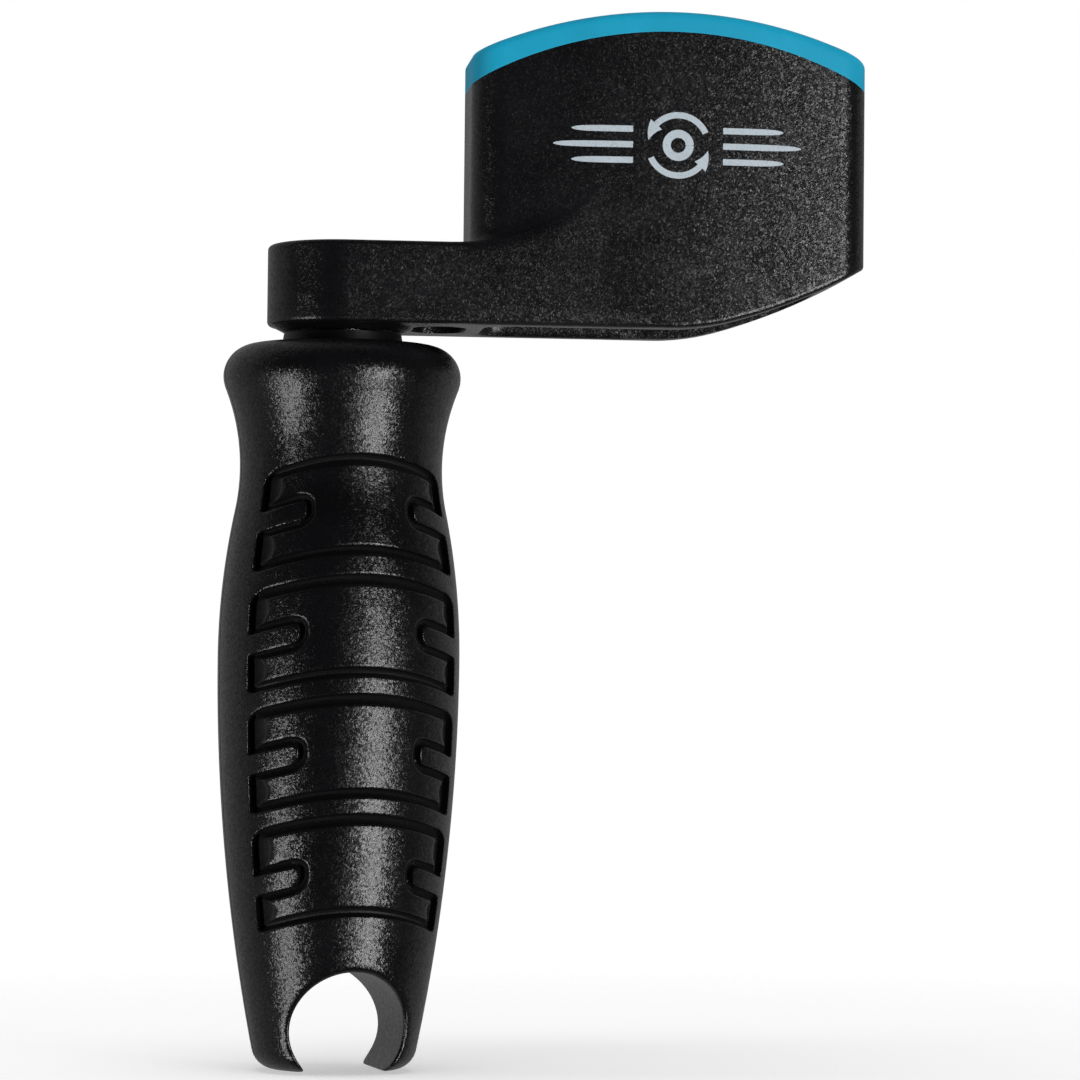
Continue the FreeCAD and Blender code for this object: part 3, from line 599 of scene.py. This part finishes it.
class Recipe:
    """A node material in the making, with helpers for the nodes that every finish here uses."""

    def __init__(self, name):
        self.material = bpy.data.materials.new(name)
        self.material.use_nodes = True
        self.tree = self.material.node_tree
        self.tree.nodes.clear()
        self.output = self.add("ShaderNodeOutputMaterial")
        self.place = self.add("ShaderNodeTexCoord").outputs["Object"]

    def add(self, kind, settings=None, **inputs):
        node = self.tree.nodes.new(kind)
        for key, value in (settings or {}).items():
            setattr(node, key, value)
        for key, value in inputs.items():
            self.feed(node.inputs[key.replace("_", " ")], value)
        return node

    def feed(self, socket, value):
        if isinstance(value, bpy.types.NodeSocket):
            self.tree.links.new(value, socket)
        else:
            socket.default_value = value

    def noise(self, size, detail=2.0, roughness=0.5, stretch=(1, 1, 1)):
        """Noise whose features are about this many millimetres across."""
        spread = self.add("ShaderNodeMapping", Vector=self.place, Scale=stretch)
        settings = {"Vector": spread.outputs[0], "Scale": 1 / (size * MM)}
        made = self.add("ShaderNodeTexNoise", Detail=detail, Roughness=roughness, **settings)
        return made.outputs["Fac"]

    def span(self, value, *ends):
        """The value, mapped from the first two ends to the last two and clamped to them."""
        made = self.add("ShaderNodeMapRange", Value=value)
        for key, number in zip(RANGE_SOCKETS, ends):
            made.inputs[key].default_value = number
        return made.outputs[0]

    def between(self, noise, low, high):
        """Noise, spread over the range from low to high."""
        return self.span(noise, *NOISE_RANGE, low, high)

    def combine(self, one, other, operation="ADD"):
        made = self.add("ShaderNodeMath", {"operation": operation})
        self.feed(made.inputs[0], one)
        self.feed(made.inputs[1], other)
        return made.outputs[0]

    def mix(self, share, one, other):
        """One colour where the share is 0 and the other where it is 1."""
        made = self.add("ShaderNodeMix", {"data_type": "RGBA"})
        self.feed(made.inputs["Factor"], share)
        for socket, value in ((made.inputs[6], one), (made.inputs[7], other)):
            self.feed(socket, value if isinstance(value, bpy.types.NodeSocket) else (*value, 1))
        return made.outputs[2]

    def drift(self, cloud, tone, darker, lighter):
        """The tone, drifting with a noise between a darker and a lighter shade of it."""
        return self.mix(self.between(cloud, 0, 1), shade(tone, darker), shade(tone, lighter))

    def edges(self, radius):
        """1 on edges sharper than about this radius in millimetres, 0 on faces."""
        rounded = self.add("ShaderNodeBevel", {"samples": 4}, Radius=radius * MM)
        plain = self.add("ShaderNodeNewGeometry").outputs["Normal"]
        dot = self.add("ShaderNodeVectorMath", {"operation": "DOT_PRODUCT"})
        self.feed(dot.inputs[0], rounded.outputs[0])
        self.feed(dot.inputs[1], plain)
        return self.span(dot.outputs["Value"], *EDGE_GLINT_COSINES, 0.0, 1.0)

    def blend_normal(self):
        """The surface's normal, widely averaged where the arm's sides run out into the cup's faces."""
        split = self.add("ShaderNodeSeparateXYZ", Vector=self.place)
        near = self.span(split.outputs["X"], *(edge * MM for edge in BLEND_START), 0.0, 1.0)
        far = self.span(split.outputs["X"], *(edge * MM for edge in BLEND_END), 1.0, 0.0)
        under_rim = self.span(split.outputs["Z"], *(edge * MM for edge in BLEND_TOP), 1.0, 0.0)
        share = self.combine(self.combine(near, far, "MULTIPLY"), under_rim, "MULTIPLY")
        wide = self.add("ShaderNodeBevel", {"samples": 8}, Radius=BLEND_RADIUS * MM)
        plain = self.add("ShaderNodeNewGeometry").outputs["Normal"]
        made = self.add("ShaderNodeMix", {"data_type": "VECTOR"})
        self.feed(made.inputs["Factor"], share)
        self.feed(made.inputs[4], plain)
        self.feed(made.inputs[5], wide.outputs[0])
        return self.vector("NORMALIZE", made.outputs[1])

    def vector(self, operation, one, other=None, scale=None):
        made = self.add("ShaderNodeVectorMath", {"operation": operation})
        self.feed(made.inputs[0], one)
        if other is not None:
            self.feed(made.inputs[1], other)
        if scale is not None:
            made.inputs["Scale"].default_value = scale
        return made.outputs["Vector"]

    def facets(self, size, tilt, normal):
        """The normal with small cells that each lean a random way."""
        cell = self.add("ShaderNodeTexVoronoi", Vector=self.place, Scale=1 / (size * MM)).outputs["Color"]
        lean = self.vector("SCALE", self.vector("SUBTRACT", cell, (0.5, 0.5, 0.5)), scale=tilt)
        return self.vector("NORMALIZE", self.vector("ADD", normal, lean))

    def bump(self, height, depth, below=None):
        """Bump from a 0 to 1 height that stands for this many millimetres."""
        made = self.add("ShaderNodeBump", Height=height, Distance=depth * MM, Strength=1.0)
        if below is not None:
            self.feed(made.inputs["Normal"], below)
        return made.outputs[0]

    def finish(self, colour, roughness, normal=None, **constants):
        shader = self.add("ShaderNodeBsdfPrincipled", **constants)
        self.feed(shader.inputs["Base Color"], colour)
        self.feed(shader.inputs["Roughness"], roughness)
        if normal is not None:
            self.feed(shader.inputs["Normal"], normal)
        self.tree.links.new(shader.outputs[0], self.output.inputs[0])
        return self.material


def shade(tone, factor, lift=0.0):
    return [min(value * factor + lift, 1) for value in tone]


def moulded_black(
    name, tone, grain, depth, roughness, edge=0.3, glitter=0.0, grooved=False, blended=False
):
    """Black plastic with the grain of its spark-eroded mould, a little smoother at its edges and painted lighter
    there as a highlight.

    glitter tilts each small facet of the grain its own way. Grooves, where the mesh has them, are painted
    darker as shade in the recesses, and made rougher. blended takes the normals of the run-out between the arm and
    the cup.
    """
    recipe = Recipe(name)
    pits = recipe.noise(grain, detail=2.5, roughness=0.6)
    peel = recipe.noise(grain * 3.2, detail=1.0)
    cloud = recipe.noise(CLOUD_SIZE, detail=3.0, roughness=0.6)
    painted_edge_glint = recipe.edges(edge)
    height = recipe.combine(pits, recipe.combine(peel, 0.15, "MULTIPLY"))
    if blended:
        plain = recipe.blend_normal()
    else:
        plain = recipe.add("ShaderNodeNewGeometry").outputs["Normal"]
    normal = recipe.bump(height, depth, below=recipe.facets(grain, glitter, plain))
    base = recipe.drift(cloud, tone, 0.8, 1.25)
    # painted highlight: the edges are painted lighter; below, they are also made a little smoother
    colour = recipe.mix(recipe.combine(painted_edge_glint, 0.5, "MULTIPLY"), base, shade(tone, 1.8))
    gloss = recipe.combine(recipe.between(pits, -0.05, 0.06), recipe.between(cloud, -0.03, 0.03))
    rough = recipe.combine(recipe.combine(gloss, roughness), recipe.combine(painted_edge_glint, -0.08, "MULTIPLY"))
    # painted shade: the grooves are painted nearly black, and they are also made rougher
    if grooved:
        groove = recipe.add("ShaderNodeAttribute", {"attribute_name": GROOVE_LAYER})
        painted_groove_shade = recipe.span(groove.outputs["Fac"], *GROOVE_SHADE_SHARES, 0.0, 1.0)
        colour = recipe.mix(painted_groove_shade, colour, shade(tone, 0.1))
        rough = recipe.combine(rough, recipe.combine(painted_groove_shade, 0.4, "MULTIPLY"))
    return recipe.finish(colour, rough, normal)


def rubber(name, tone):
    """Soft matt rubber, painted a little paler at its edges as a highlight."""
    recipe = Recipe(name)
    grain = recipe.noise(0.12, detail=3.0, roughness=0.65)
    cloud = recipe.noise(5.0, detail=3.0)
    painted_edge_glint = recipe.edges(0.3)
    base = recipe.drift(cloud, tone, 0.93, 1.06)
    # painted highlight: the edges are painted paler
    colour = recipe.mix(recipe.combine(painted_edge_glint, 0.25, "MULTIPLY"), base, shade(tone, 1.2, lift=0.02))
    return recipe.finish(
        colour,
        recipe.between(grain, 0.52, 0.7),
        recipe.bump(grain, 0.012),
        Specular_IOR_Level=0.3,
        Sheen_Weight=0.03,
        Sheen_Roughness=0.5,
    )


def ink(name, tone):
    """Pad-printed ink that lets a little of the grain below it through."""
    recipe = Recipe(name)
    grain = recipe.noise(0.22, detail=2.5, roughness=0.6)
    cloud = recipe.noise(2.5, detail=2.0)
    pinholes = recipe.span(grain, 0.36, 0.44, 0.45, 0.0)
    colour = recipe.mix(pinholes, recipe.drift(cloud, tone, 0.94, 1.04), shade(tone, 0.55))
    return recipe.finish(colour, recipe.between(grain, 0.5, 0.66), recipe.bump(grain, 0.02))


def turned_metal(name, tone, roughness, ring=0.08):
    """Metal turned about the axle: fine rings across the axis and a slight change of tone."""
    recipe = Recipe(name)
    rings = recipe.noise(ring, detail=1.0, stretch=(0.02, 0.02, 1.0))
    cloud = recipe.noise(1.6, detail=3.0)
    painted_edge_glint = recipe.edges(0.1)
    base = recipe.drift(cloud, tone, 0.85, 1.1)
    # painted highlight: the edges are painted lighter
    colour = recipe.mix(recipe.combine(painted_edge_glint, 0.5, "MULTIPLY"), base, shade(tone, 1.4))
    rough = recipe.combine(recipe.between(rings, -0.06, 0.1), roughness)
    return recipe.finish(colour, rough, recipe.bump(rings, 0.003), Metallic=1.0)


def nylon(name, tone):
    """Natural nylon, faintly cloudy."""
    recipe = Recipe(name)
    grain = recipe.noise(0.1, detail=2.0)
    cloud = recipe.noise(1.2, detail=2.0)
    colour = recipe.drift(cloud, tone, 0.9, 1.05)
    return recipe.finish(colour, recipe.between(grain, 0.4, 0.55), recipe.bump(grain, 0.004))


materials = {
    "crank_plastic": moulded_black(
        "crank_plastic", (0.0055, 0.0055, 0.0065), 0.19, 0.03, 0.26, glitter=0.17, blended=True
    ),
    "handle_plastic": moulded_black(
        "handle_plastic", (0.004, 0.004, 0.0048), 0.2, 0.035, 0.24, edge=0.2, glitter=0.17, grooved=True
    ),
    "collar_plastic": moulded_black("collar_plastic", (0.004, 0.004, 0.005), 0.12, 0.008, 0.4),
    "liner_rubber": rubber("liner_rubber", (0.008, 0.40, 0.63)),
    "print_ink": ink("print_ink", (0.56, 0.64, 0.70)),
    "axle_steel": turned_metal("axle_steel", (0.58, 0.58, 0.6), 0.28),
    "clip_steel": turned_metal("clip_steel", (0.10, 0.10, 0.11), 0.42),
    "spacer_aluminium": turned_metal("spacer_aluminium", (0.72, 0.73, 0.74), 0.36),
    "bearing_steel": turned_metal("bearing_steel", (0.56, 0.57, 0.58), 0.18, ring=0.04),
    "shield_steel": turned_metal("shield_steel", (0.50, 0.51, 0.52), 0.34, ring=0.05),
    "cage_nylon": nylon("cage_nylon", (0.72, 0.66, 0.52)),
}


def dress_nodes():
    """Give each CAD node the finish of the slot that the record names for it."""
    for part in frame["record"]["subparts"]:
        node = nodes[part["node"]]
        node.data.materials.clear()
        node.data.materials.append(materials[part["material_slot"]])


# ---------------------------------------------------------------- printed pictogram


def face_y(x):
    """The cup's bowed front face at x."""
    return FACE_ROUND - FACE_DEPTH - math.sqrt(FACE_ROUND**2 - x**2)


def add_stroke(bm, places, widths):
    """A thin flat stroke of ink along places on the cup's face, with a width at each place."""
    onward = np.gradient(places, axis=0)
    onward /= np.linalg.norm(onward, axis=1)[:, None]
    aside = np.stack([-onward[:, 1], onward[:, 0]], 1) * widths[:, None] / 2
    layers = []
    for proud in (PRINT_THICKNESS / 2, -PRINT_THICKNESS / 2):
        for edge in (places + aside, places - aside):
            layers.append(
                [bm.verts.new((PRINT_X + x, face_y(PRINT_X + x) - proud, PRINT_Z + z)) for x, z in edge]
            )
    left, right, left_below, right_below = layers
    for a, b in ((left, right), (right, right_below), (right_below, left_below), (left_below, left)):
        for here in range(len(places) - 1):
            bm.faces.new((a[here], a[here + 1], b[here + 1], b[here]))
    for end in (0, -1):
        bm.faces.new([row[end] for row in (left, right, right_below, left_below)])


def arc(radius, start, end, count=40):
    """Places on an arc round the pictogram's middle."""
    turns = np.radians(np.linspace(start, end, count))
    return np.stack([radius * np.cos(turns), radius * np.sin(turns)], 1)


def make_print():
    """A winding pictogram: a tuner's button between two turning arrows, and the strings that run to it."""
    bm = bmesh.new()
    button = arc(BUTTON_RADIUS, 0, 360, 49)
    add_stroke(bm, button, np.full(len(button), PRINT_STROKE * BUTTON_STROKE))
    for start in ARROW_STARTS:
        neck = start + ARROW_SHAFT
        shaft = arc(ARROW_RADIUS, start, neck)
        add_stroke(bm, shaft, np.full(len(shaft), PRINT_STROKE))
        head = arc(ARROW_RADIUS, neck, neck + ARROW_HEAD, 14)
        add_stroke(bm, head, np.linspace(ARROW_HEAD_WIDTH * PRINT_STROKE, 0.02, len(head)))
    for side in (-1, 1):
        for level, far in STRINGS:
            line = np.stack([np.linspace(side * STRING_START, side * far, 25), np.full(25, level)], 1)
            along = (line[:, 0] * side - STRING_START) / (far - STRING_START)
            taper = np.sqrt(np.clip(1 - along**6, 0.02, 1))
            add_stroke(bm, line, PRINT_STROKE * taper)
    bmesh.ops.remove_doubles(bm, verts=bm.verts, dist=FINE_WELD)
    bmesh.ops.recalc_face_normals(bm, faces=bm.faces)
    return make_object("winding_print", bm, materials["print_ink"], "crank")


# ---------------------------------------------------------------- stage, light and camera


def direction(azimuth, elevation):
    """The unit vector from the object towards a place seen at this azimuth and elevation."""
    a, e = math.radians(azimuth), math.radians(elevation)
    return Vector((math.sin(a) * math.cos(e), -math.cos(a) * math.cos(e), math.sin(e)))


def make_floor():
    """A pale floor, clear from below, that fades out round the object into the white surroundings."""
    mesh = bpy.data.meshes.new("floor")
    bm = bmesh.new()
    bmesh.ops.create_circle(bm, segments=64, radius=FLOOR_END, cap_ends=True)
    bm.to_mesh(mesh)
    bm.free()
    floor = bpy.data.objects.new("floor", mesh)
    floor.location = (0, 0, cad_box[0].z - FLOOR_GAP)
    bpy.context.scene.collection.objects.link(floor)
    # the floor takes the object's shadow, and leaves the low keys and the object's reflections alone
    floor.visible_shadow = floor.visible_glossy = floor.visible_diffuse = False
    recipe = Recipe("floor")
    distance = recipe.add("ShaderNodeVectorMath", {"operation": "LENGTH"})
    recipe.feed(distance.inputs[0], recipe.place)
    fade = recipe.span(distance.outputs["Value"], FLOOR_START, FLOOR_END, 0.0, 1.0)
    from_below = recipe.add("ShaderNodeNewGeometry").outputs["Backfacing"]
    fade = recipe.combine(fade, from_below, "MAXIMUM")
    paint = recipe.add("ShaderNodeBsdfDiffuse", Color=FLOOR_TONE)
    glow = recipe.add("ShaderNodeEmission", Strength=FLOOR_GLOW)
    lit = recipe.add("ShaderNodeAddShader")
    recipe.feed(lit.inputs[0], paint.outputs[0])
    recipe.feed(lit.inputs[1], glow.outputs[0])
    clear = recipe.add("ShaderNodeBsdfTransparent")
    both = recipe.add("ShaderNodeMixShader")
    recipe.feed(both.inputs[0], fade)
    recipe.feed(both.inputs[1], lit.outputs[0])
    recipe.feed(both.inputs[2], clear.outputs[0])
    recipe.feed(recipe.output.inputs["Surface"], both.outputs[0])
    mesh.materials.append(recipe.material)


def make_surroundings():
    """White to the eye, and to the object a room that is bright behind it and dark in front."""
    world = bpy.data.worlds.new("studio")
    world.use_nodes = True
    tree = world.node_tree
    tree.nodes.clear()
    out = tree.nodes.new("ShaderNodeOutputWorld")
    place = tree.nodes.new("ShaderNodeTexCoord")
    split = tree.nodes.new("ShaderNodeSeparateXYZ")
    tree.links.new(place.outputs["Generated"], split.inputs[0])
    depth = tree.nodes.new("ShaderNodeMapRange")
    tree.links.new(split.outputs["Y"], depth.inputs["Value"])
    for key, value in zip(RANGE_SOCKETS, (ROOM_FRONT, ROOM_BACK, ROOM_DARK, ROOM_LIGHT)):
        depth.inputs[key].default_value = value
    room = tree.nodes.new("ShaderNodeBackground")
    tree.links.new(depth.outputs[0], room.inputs["Strength"])
    plain = tree.nodes.new("ShaderNodeBackground")
    plain.inputs["Strength"].default_value = 1.0
    plain.inputs["Color"].default_value = (1, 1, 1, 1)
    path = tree.nodes.new("ShaderNodeLightPath")
    both = tree.nodes.new("ShaderNodeMixShader")
    tree.links.new(path.outputs["Is Camera Ray"], both.inputs[0])
    tree.links.new(room.outputs[0], both.inputs[1])
    tree.links.new(plain.outputs[0], both.inputs[2])
    tree.links.new(both.outputs[0], out.inputs[0])
    bpy.context.scene.world = world


def add_softbox(name, azimuth, elevation, width, height, radiance, mirrored):
    """A rectangular lamp that faces the object, and shows in its gloss where it is mirrored.

    The radiance is what the object sees, whatever the lamp's size.
    """
    data = bpy.data.lights.new(name, "AREA")
    data.shape = "RECTANGLE"
    data.size, data.size_y = width, height
    data.energy = radiance * math.pi * width * height
    lamp = bpy.data.objects.new(name, data)
    back = direction(azimuth, elevation)
    lamp.location = Vector(TARGET) * MM + back * LAMP_DISTANCE
    lamp.rotation_mode = "QUATERNION"
    lamp.rotation_quaternion = back.to_track_quat("Z", "Y")
    lamp.visible_camera = False
    lamp.visible_glossy = mirrored
    bpy.context.scene.collection.objects.link(lamp)


def make_camera():
    """A camera at the photograph's angle, rolled a little."""
    data = bpy.data.cameras.new("camera")
    data.sensor_width = SENSOR
    data.lens = SENSOR * CAMERA_DISTANCE / VIEW_WIDTH
    data.clip_start, data.clip_end = 0.01, 100
    camera = bpy.data.objects.new("camera", data)
    back = direction(CAMERA_AZIMUTH, CAMERA_ELEVATION)
    right = Vector((math.cos(math.radians(CAMERA_AZIMUTH)), math.sin(math.radians(CAMERA_AZIMUTH)), 0))
    up = back.cross(right)
    roll = math.radians(CAMERA_ROLL)
    turned = right * math.cos(roll) + up * math.sin(roll)
    raised = up * math.cos(roll) - right * math.sin(roll)
    camera.matrix_world = Matrix.Translation((Vector(TARGET) + back * CAMERA_DISTANCE) * MM) @ Matrix(
        [[turned[i], raised[i], back[i]] for i in range(3)]
    ).to_4x4()
    bpy.context.scene.collection.objects.link(camera)
    bpy.context.scene.camera = camera


# ---------------------------------------------------------------- putting it together

dress_nodes()
make_shell("grip_front", "handle_front_shell", 0, materials["handle_plastic"])
make_shell("grip_back", "handle_back_shell", 180, materials["handle_plastic"])
make_print()
make_floor()
make_surroundings()
for lamp in LAMPS:
    add_softbox(*lamp)
make_camera()
bpy.context.scene.view_settings.view_transform = "Standard"
